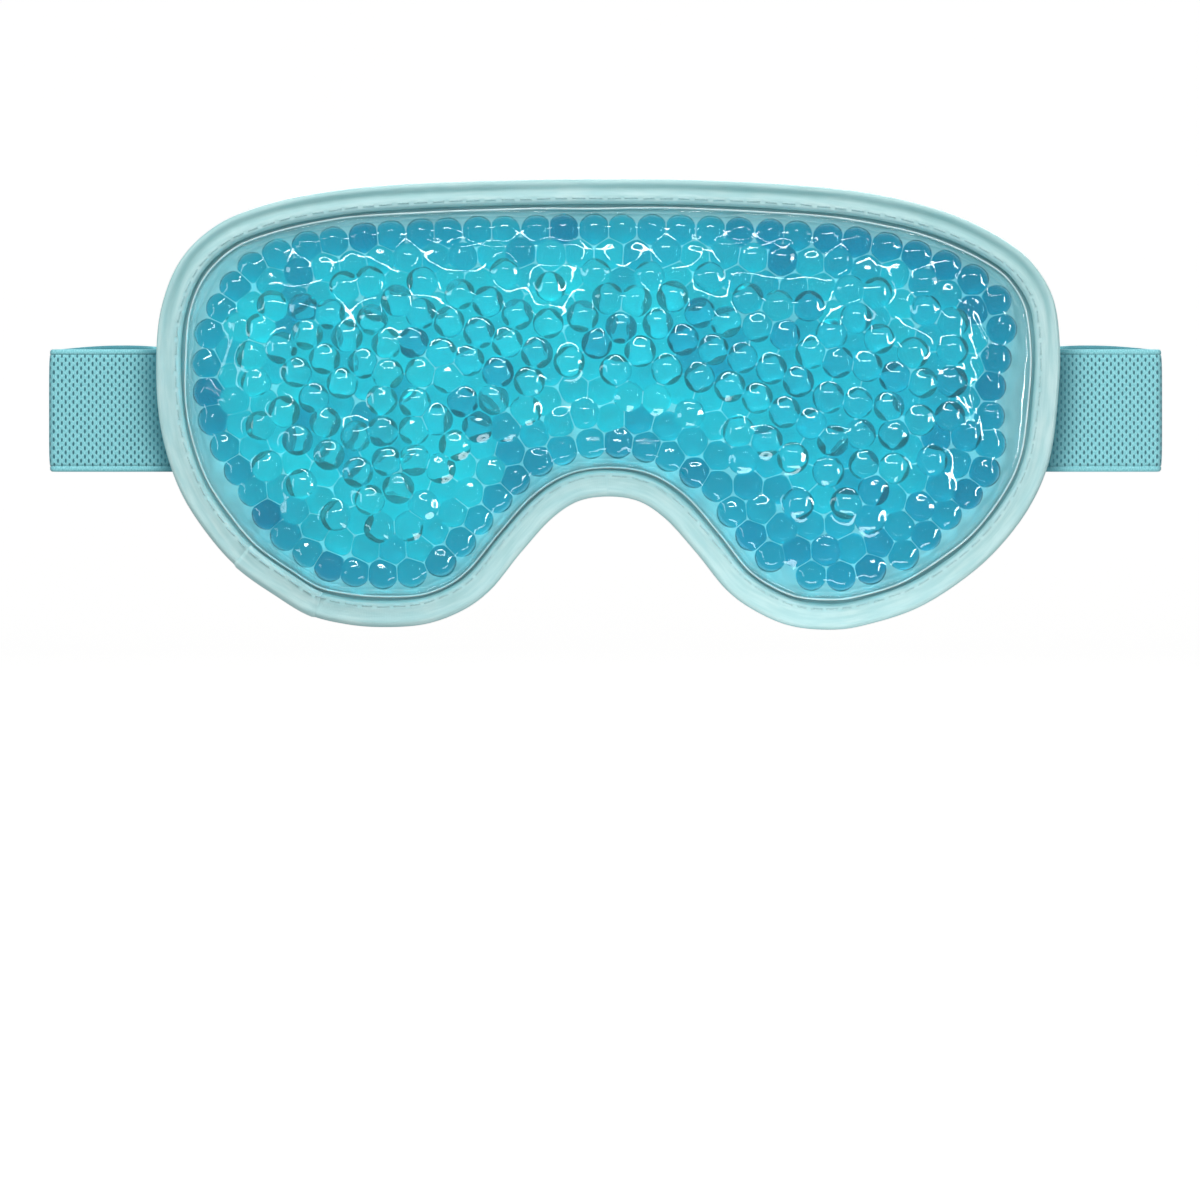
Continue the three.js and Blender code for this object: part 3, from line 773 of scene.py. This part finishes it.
def tape_height(i, inset, back):
    """How far the tape's surface stands off its middle plane, by distance from the outline."""
    rounding = np.sqrt(np.clip(1 - (1 - np.clip(inset / 1.5, 0, 1)) ** 2, 0, 1))
    ridge = 0.12 * np.exp(-((inset - 0.8) / 0.5) ** 2)
    crown = (0.14 if back else 0.24) * np.exp(-((inset - (3.6 if back else 4.9)) / 0.9) ** 2)
    valley = 0.10 if back else 0.10 + 0.44 * _top[i] * (0.85 + 0.25 * _slow[i])
    dip = valley * np.exp(-((inset - 2.7) / 0.85) ** 2)
    seam = SEAM_INSET - (0.4 if back else 0)
    ditch = (0.05 + 0.16 * _hole[i]) * np.exp(-((inset - seam) / 0.34) ** 2)
    tucked = 0.42 * smooth((inset - 5.6) / 0.6)
    height = rounding * (HALF_T - 0.12) + ridge + crown - dip - ditch - tucked
    gathers = 0.05 + 1.3 * min(abs(BEND[i]), 0.05) + 0.12 * near_join(i)
    height += gathers * _gather[i] * smooth((inset - 1.0) / 3.0) * 0.8
    return height + 0.07 * _mid[i] * smooth(inset / 2)


def tape_section(i, swell=0.0):
    reach = 0.22 * _edge[i] * 0.6
    front = [(u + (reach if u > 5.5 else 0), MIDDLE_Y - tape_height(i, u, False) - swell)
             for u in FRONT_LINES[::-1]]
    back = [(u + (reach * 0.5 if u > 5.2 else 0), MIDDLE_Y + tape_height(i, u, True) + swell)
            for u in BACK_LINES]
    inner_front = MIDDLE_Y - HALF_T + 0.75
    inner_back = MIDDLE_Y + HALF_T - 0.75
    inner = [(5.7 + reach, inner_back), (3.0, inner_back - 0.1), (1.1, inner_back - 0.4),
             (0.85, MIDDLE_Y), (1.1, inner_front + 0.4), (3.0, inner_front + 0.1),
             (6.1 + reach, inner_front)]
    return [(u - swell * 0.35 * (u < 0.5), y) for u, y in front + back] + inner


def tape_shade(i):
    """Painted shade: dark at the outer edge, in the roll's valley along the top, and where the tape
    turns under.
    """
    front, back = FRONT_LINES[::-1], BACK_LINES
    valley = 0.62 * _top[i] * (0.8 + 0.35 * _slow[i]) * np.exp(-((front - 2.35) / 1.2) ** 2)
    shade_value = 0.45 * np.exp(-(front / 0.30) ** 2) + valley + 0.55 * smooth((front - 5.75) / 0.45)
    behind = 0.45 * np.exp(-(back / 0.30) ** 2) + 0.4 * smooth((back - 5.4) / 0.6)
    return np.clip(np.concatenate([shade_value, behind, np.full(7, 0.6)]), 0, 1)


def lengths_round(section):
    """How far round the section each of its points is."""
    return np.concatenate([[0], np.cumsum(np.hypot(*np.diff(section, axis=0).T))])


def build_tape(material):
    stations = range(len(RING))
    piece = ring_sweep("binding_tape", tape_section, stations, material)
    gone = lengths_round(tape_section(0))
    width = gone[OUTER_LINES - 1]
    set_uv(piece, np.stack([np.repeat(ALONG, len(gone)), np.tile(gone, len(RING))], 1))
    set_shade(piece, np.concatenate([tape_shade(i) for i in stations]))
    return piece, width


def build_lap(material):
    """The end of the tape, turned under and sewn over its start on the left lobe."""
    stations = list(range(JOIN_FROM, JOIN_TO + 1))
    length = (JOIN_TO - JOIN_FROM) * PERIMETER / len(RING)

    def section(i):
        t = (i - JOIN_FROM) * PERIMETER / len(RING)
        ends = float(smooth(t / 1.6) * smooth((length - t) / 1.2))
        swell = -0.25 + (LAP_RISE + 0.10 * _mid[i]) * ends
        outer = tape_section(i, swell)[:OUTER_LINES]
        inner = [(max(u, 0.35), MIDDLE_Y + (y - MIDDLE_Y) * 0.72) for u, y in outer[::-1][::3]]
        return outer + inner

    piece = ring_sweep("tape_lap", section, stations, material, closed=False)
    gone = lengths_round(section(stations[0]))
    uv = np.stack([np.repeat(ALONG[stations], len(gone)) * 0.98, np.tile(gone + 3, len(stations))], 1)
    set_uv(piece, uv)
    return piece


def ring_at(s):
    """The station at a distance along the outline."""
    return int(round(s / PERIMETER * len(RING))) % len(RING)


def build_stitches(name, inset, back, material):
    """Lockstitches round the binding: each dives into its holes at both ends."""
    segments = []
    for k in range(STITCHES):
        middle = (k + 0.5) * PERIMETER / STITCHES
        points = []
        for s in (middle - STITCH_LENGTH / 2, middle + STITCH_LENGTH / 2):
            i = ring_at(s)
            stand = float(tape_height(i, np.array([inset]), back)[0]) + 0.02
            stand += LAP_RISE * near_join(i, 1.0)
            y = MIDDLE_Y + stand if back else MIDDLE_Y - stand
            place = RING[i] + INWARD[i] * (inset + rng.normal(0, 0.05))
            points.append((place[0], y, place[1]))
        segments.append(points)
    return thread_piece(name, segments, STITCH_R, material)


# -------- straps
def cheek_edge(sign, inset):
    """The outline beside a strap, drawn in by an inset: heights in order, and the reach at each."""
    edge = RING + inset * INWARD
    side = edge[(edge[:, 0] * sign > 85) & (np.abs(edge[:, 1]) < 25)]
    side = side[np.argsort(side[:, 1])]
    return side[:, 1], np.abs(side[:, 0])


def build_strap(side, material):
    """One flat band: sewn end, flat fold at the outer end, then back behind the pillow to its tip."""
    sign = -1 if side == "left" else 1
    tail = "strap_tail_" + side
    low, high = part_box(tail)
    low_z, high_z = low.z / MM, high.z / MM
    fold_x = max(abs(low.x), abs(high.x)) / MM - FOLD_INSET
    tip_x = min(abs(low.x), abs(high.x)) / MM
    near_y = (NEAR_Y[0] + NEAR_Y[1]) / 2
    far_y = high.y / MM - 0.6
    radius = (far_y - near_y) / 2
    axis_y = (far_y + near_y) / 2
    width = high_z - low_z
    profile = [(-15.0, 0.10), (-14.85, 0.36), (-14.5, 0.52), (-14.0, 0.52), (-13.72, 0.34),
               (-13.4, 0.47)]
    lines = profile + [(w, 0.5) for w in np.linspace(-12.6, 12.6, 43)] + [
        (-w, t) for w, t in reversed(profile)]
    across = np.array([w for w, _ in lines]) * width / 30
    half = np.array([t for _, t in lines])
    middle_z = (low_z + high_z) / 2

    straight = np.linspace(0, 1, 46)
    turn = np.linspace(-90, 90, 19)[1:-1]
    back_run = np.linspace(0, 1, 120)
    wobble = 7 if side == "left" else 8
    rows, uv = [], []
    z = middle_z + across
    start_x = np.interp(z, *cheek_edge(sign, TAPE_BACK))    # the binding's inner edge

    def soften(t):
        return np.sin(math.pi * np.clip(t, 0, 1)) ** 1.2

    for t in straight:
        x = start_x + (fold_x - start_x) * t
        sway = 0.12 * waves(np.stack([x, z], 1), 26, wobble, 2)
        rows.append((x, near_y + sway * soften(t), z, 0.0, 1.0))
        uv.append((x - fold_x, across))
    for degrees in turn:
        a = math.radians(degrees)
        bow = 0.25 * (1 + math.sin(a)) / 2
        x = np.full_like(z, fold_x + radius * math.cos(a))
        x = x - 0.35 * (np.abs(across) / 15) ** 6
        rows.append((x, np.full_like(z, axis_y + radius * math.sin(a)), z + bow,
                     math.cos(a), -math.sin(a)))
        uv.append((np.full_like(z, radius * (a + math.pi / 2)), across))
    for t in back_run:
        x = fold_x + (tip_x - fold_x) * t
        slack = math.sin(math.pi * min(1, (fold_x - x) / 33))
        bow = 0.25 * max(0, 1 - t * 8) + 1.25 * max(0, slack)
        sway = 0.16 * waves(np.stack([np.full_like(z, x), z], 1), 38, wobble + 20, 2) * soften(t)
        rows.append((np.full_like(z, x), far_y + sway, z + bow, 0.0, -1.0))
        uv.append((np.full_like(z, radius * math.pi + fold_x - x), across))

    count = len(across)
    verts, coords = [], []
    for (x, y, zz, nx, ny), (u, v) in zip(rows, uv):
        inner = np.stack([sign * (x + nx * half), y - ny * half, zz], 1)
        outer = np.stack([sign * (x - nx * half), y + ny * half, zz], 1)[::-1]
        verts.append(np.concatenate([inner, outer]))
        coords.append(np.concatenate([np.stack([u, v], 1), np.stack([u, v], 1)[::-1]]))
    ring = 2 * count
    faces = loft_faces(len(rows), ring, caps=False)
    for j in range(count - 1):
        faces.append((j + 1, j, ring - 1 - j, ring - 2 - j))
        last = (len(rows) - 1) * ring
        faces.append((last + j, last + j + 1, last + ring - 2 - j, last + ring - 1 - j))
    place = np.concatenate(verts)
    piece = face_out(make_mesh("strap_" + side, place, faces, material))
    set_uv(piece, np.concatenate(coords))
    # Painted shade: dark near the pillow's edge where it shades the strap, inside the fold above the
    # near layer, and at the fold's turn.
    away = np.abs(place[:, 0]) - np.interp(place[:, 2], *cheek_edge(sign, 0))
    near = place[:, 1] < axis_y - 0.8
    shadow_by_mask = (1 - smooth((away - 0.2) / 7.5)) * near
    shadow_in_fold = 0.9 * (place[:, 2] - middle_z > 13.9) * ~near * smooth(away / 4)
    shadow_in_fold *= smooth((fold_x - np.abs(place[:, 0])) / 1.5)
    shade_at_fold = 0.75 * smooth((np.abs(place[:, 0]) - fold_x - 0.6) / 1.2)
    set_shade(piece, np.clip(shadow_by_mask + shadow_in_fold + shade_at_fold, 0, 1))
    length = fold_x - float(start_x.mean()) + math.pi * radius + fold_x - tip_x
    return piece, length, width


def build_strap_seam(side, material):
    """Two close rows of stitches hold the strap's sewn end to the binding."""
    sign = -1 if side == "left" else 1
    segments = []
    run = [i for i in range(len(RING)) if RING[i, 0] * sign > 85 and -14.6 < RING[i, 1] < 12.6]
    heights = RING[run, 1]
    for inset in STRAP_SEAM_INSETS:
        for k in range(int((heights.max() - heights.min()) / STRAP_SEAM_PITCH)):
            low = heights.min() + k * STRAP_SEAM_PITCH + 0.3
            points = []
            for z in (low, low + STRAP_SEAM_LENGTH):
                i = run[int(np.argmin(np.abs(heights - z)))]
                place = RING[i] + INWARD[i] * (inset + rng.normal(0, 0.05))
                points.append((place[0], NEAR_Y[1], place[1]))
            segments.append(points)
    return thread_piece("strap_stitches_" + side, segments, STITCH_R, material)


# -------- hook and loop
def bent_tube(path, radius, sides=5):
    path = np.array(path, float)
    verts = []
    for k, point in enumerate(path):
        ahead = path[min(k + 1, len(path) - 1)] - path[max(k - 1, 0)]
        ahead /= np.linalg.norm(ahead)
        side = np.cross(ahead, (0.21, 0.13, 1.0))
        side /= np.linalg.norm(side)
        up = np.cross(ahead, side)
        for s in range(sides):
            a = 2 * math.pi * s / sides
            verts.append(point + radius * (math.cos(a) * side + math.sin(a) * up))
    return verts, loft_faces(len(path), sides)


def patch_box(node):
    low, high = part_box(node)
    return [v / MM for v in (low.x, high.x, low.y, high.y, low.z, high.z)]


def rounded_plate(x0, x1, z0, z1, y0, y1, corner=1.6, border=1.0):
    """A thin plate with rounded corners and a softened rim."""
    outline = []
    for cx, cz, start in ((x1 - corner, z1 - corner, 0), (x0 + corner, z1 - corner, 90),
                          (x0 + corner, z0 + corner, 180), (x1 - corner, z0 + corner, 270)):
        for step in range(7):
            a = math.radians(start + step * 15)
            outline.append((cx, cz, corner * math.cos(a), corner * math.sin(a)))
    rings = [(0.0, y0), (0.0, (y0 + y1) / 2), (0.12, y1), (border, y1)]
    verts = []
    for pull, y in rings:
        shrink = 1 - pull / corner
        verts += [(cx + dx * shrink, y, cz + dz * shrink) for cx, cz, dx, dz in outline]
    return verts, loft_faces(len(rings), len(outline))


def build_hooks(material):
    """Moulded hooks in rows, that lean both ways, on a sewn tape."""
    x0, x1, y0, y1, z0, z1 = patch_box("hook_patch")
    shapes = [rounded_plate(x0, x1, z0, z1, y0 - 0.35, y0 + 0.35)]
    turn = 1
    for x in np.arange(x0 + 2.6, x1 - 2.2, HOOK_SPACING[0]):
        turn = -turn
        for z in np.arange(z0 + 2.5, z1 - 2.2, HOOK_SPACING[1]):
            px, pz = x + rng.normal(0, 0.05), z + rng.normal(0, 0.05)
            lean = turn * 0.42
            path = [(px, y0 + 0.2, pz), (px + 0.05 * turn, y0 + 0.62, pz),
                    (px + 0.30 * turn, y0 + 0.93, pz), (px + 0.58 * turn, y0 + 0.86, pz),
                    (px + 0.58 * turn + lean * 0.1, y0 + 0.66, pz)]
            shapes.append(bent_tube(path, 0.13))
    return join_shapes("hook_tape", shapes, material)


def build_loops(material):
    """Fuzzy loops of fine yarn on a sewn tape."""
    x0, x1, y0, y1, z0, z1 = patch_box("loop_patch")
    shapes = [rounded_plate(x0, x1, z0, z1, y1 + 0.35, y1 - 0.35)]
    for _ in range(LOOP_COUNT):
        px, pz = rng.uniform(x0 + 2.0, x1 - 2.0), rng.uniform(z0 + 2.0, z1 - 2.0)
        way = rng.uniform(0, 2 * math.pi)
        dx, dz = math.cos(way) * rng.uniform(0.35, 0.7), math.sin(way) * rng.uniform(0.35, 0.7)
        tall = rng.uniform(0.35, 0.75)
        path = [(px - dx, y1 - 0.25, pz - dz), (px - dx * 0.8, y1 - 0.35 - tall * 0.6, pz - dz * 0.8),
                (px, y1 - 0.35 - tall, pz), (px + dx * 0.8, y1 - 0.35 - tall * 0.6, pz + dz * 0.8),
                (px + dx, y1 - 0.25, pz + dz)]
        shapes.append(bent_tube(path, 0.075, 4))
    return join_shapes("loop_tape", shapes, material)


def build_patch_stitches(name, node, y, material):
    """A box of stitches inside the patch's rim."""
    x0, x1, _, _, z0, z1 = patch_box(node)
    inset, pitch, length = 1.2, 2.6, 1.75
    corners = [(x0 + inset, z0 + inset), (x1 - inset, z0 + inset),
               (x1 - inset, z1 - inset), (x0 + inset, z1 - inset)]
    segments = []
    for a, b in zip(corners, corners[1:] + corners[:1]):
        a, b = np.array(a), np.array(b)
        run = np.linalg.norm(b - a)
        steps = int(round(run / pitch))
        for k in range(steps):
            ends = [a + (b - a) * (k + 0.5 + half * length / pitch) / steps for half in (-0.5, 0.5)]
            segments.append([(x, y, z) for x, z in ends])
    return thread_piece(name, segments, 0.17, material)


# -------- build
materials = {
    "beads": bead_material(), "film": film_material(), "backing": backing_material(),
    "weld": weld_material(), "fabric": fabric_material(), "tape": tape_material(),
    "thread": thread_material(), "elastic": elastic_material(), "hooks": hook_material(),
    "loops": loop_material()}


def both(stem):
    return [stem + "_left", stem + "_right"]


def across_bridge(piece):
    """Bakes the piece's placement into its mesh."""
    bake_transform(piece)


film, beads, backing, weld = build_pouch(materials)
fabric, fabric_area = build_fabric(materials["fabric"])
tape, tape_width = build_tape(materials["tape"])
front_stitches = build_stitches("needle_stitches", SEAM_INSET, False, materials["thread"])
back_stitches = build_stitches("bobbin_stitches", SEAM_INSET_BACK, True, materials["thread"])
for piece, slot, nodes in (
        (film, "clear_film", both("window_film")), (beads, "gel_beads", both("bead_fill")),
        (backing, "backing_film", both("back_film")), (weld, "clear_film", []),
        (fabric, "plush_fabric", both("fabric_panel")), (tape, "satin_tape", both("binding")),
        (front_stitches, "thread", both("needle_thread")),
        (back_stitches, "thread", both("bobbin_thread"))):
    across_bridge(piece)
    if nodes:
        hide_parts(*nodes)

lap = build_lap(materials["tape"])
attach(lap, "left_half")
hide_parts("binding_join")

for side in ("left", "right"):
    strap, strap_length, strap_width = build_strap(side, materials["elastic"])
    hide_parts("strap_root_" + side, "strap_tail_" + side)
    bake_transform(strap)
    seam = build_strap_seam(side, materials["thread"])
    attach(seam, side + "_half")
    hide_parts("strap_seam_" + side)

hooks = build_hooks(materials["hooks"])
hook_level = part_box("hook_patch")[0].y / MM + 0.42
hook_stitches = build_patch_stitches("hook_stitches", "hook_patch", hook_level, materials["thread"])
loops = build_loops(materials["loops"])
loop_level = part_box("loop_patch")[1].y / MM - 0.42
loop_stitches = build_patch_stitches("loop_stitches", "loop_patch", loop_level, materials["thread"])
for piece, body, slot, node in (
        (hooks, "left_strap", "hook_tape", "hook_patch"),
        (hook_stitches, "left_strap", "thread", "hook_patch_thread"),
        (loops, "right_strap", "loop_tape", "loop_patch"),
        (loop_stitches, "right_strap", "thread", "loop_patch_thread")):
    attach(piece, body)
    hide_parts(node)


# -------- studio
def hide_from(thing, *rays):
    for ray in rays:
        setattr(thing, "visible_" + ray, False)


def area_light(name, place, aim, size, power):
    lamp = bpy.data.lights.new(name, "AREA")
    lamp.shape = "RECTANGLE"
    lamp.size, lamp.size_y = size
    lamp.energy = power
    holder = bpy.data.objects.new(name, lamp)
    bpy.context.scene.collection.objects.link(holder)
    holder.location = place
    holder.rotation_euler = (Vector(aim) - Vector(place)).to_track_quat("-Z", "Y").to_euler()
    return holder


def build_backdrop():
    """A pale floor that curves up into a white room all round."""
    n = Nodes("studio_sweep")
    soft = n.mix(n.noise(3.0, 2.0, n.objects()), rgb(0.955, 0.955, 0.95), rgb(0.975, 0.975, 0.97))
    material = n.principled({
        "Base Color": soft, "Roughness": 0.9, "Emission Color": rgb(1, 1, 1),
        "Emission Strength": 0.6})
    quarter = np.linspace(0, math.pi / 2, 16)
    profile = [(0, -120)]
    profile += [(3600 + 1000 * math.sin(a), -120 + 1000 * (1 - math.cos(a))) for a in quarter]
    profile += [(4600 * math.cos(a), 3000 + 2000 * math.sin(a)) for a in quarter]
    around = np.arange(64) * 2 * math.pi / 64
    verts = [(r * math.cos(a), r * math.sin(a), z) for r, z in profile for a in around]
    faces = loft_faces(len(profile), len(around), caps=False)
    sweep = make_mesh("studio_sweep", verts, faces, material)
    hide_from(sweep, "diffuse", "transmission", "glossy", "shadow")


def build_studio():
    build_backdrop()
    camera = bpy.data.cameras.new("camera")
    camera.lens = 85
    camera.sensor_width = 36
    holder = bpy.data.objects.new("camera", camera)
    bpy.context.scene.collection.objects.link(holder)
    holder.location = (-0.00207, -0.6925, -0.0474)
    holder.rotation_euler = (math.pi / 2, 0, 0)
    bpy.context.scene.camera = holder
    origin, unseen = (0, 0, 0), ("diffuse", "transmission")
    for name, place, aim, size, power, hidden in (
            ("key", (-0.15, -0.65, 0.85), origin, (0.9, 0.4), 6.5, ("glossy",)),
            ("strip", (0.0, -0.62, 0.42), origin, (0.7, 0.03), 2.0, unseen),
            ("right", (0.9, -0.5, 0.15), origin, (0.12, 0.8), 1.5, ()),
            ("glint", (0.86, -0.5, 0.05), (0.1, 0, 0), (0.07, 0.5), 4.0, unseen),
            ("left", (-0.9, -0.5, 0.1), origin, (0.12, 0.8), 1.2, ()),
            ("behind", (0.1, 0.6, 0.5), origin, (0.8, 0.5), 5.0, ()),
            ("low", (0.045, -0.05, -0.113), (0.045, -0.05, 0), (0.13, 0.02), 0.05, ("camera",))):
        hide_from(area_light(name, place, aim, size, power), *hidden)
    world = bpy.data.worlds.new("studio")
    world.use_nodes = True
    world.node_tree.nodes["Background"].inputs["Color"].default_value = rgb(1, 1, 1)
    world.node_tree.nodes["Background"].inputs["Strength"].default_value = 0.40
    bpy.context.scene.world = world
    bpy.context.scene.view_settings.view_transform = "Standard"


build_studio()

bpy.context.view_layer.update()
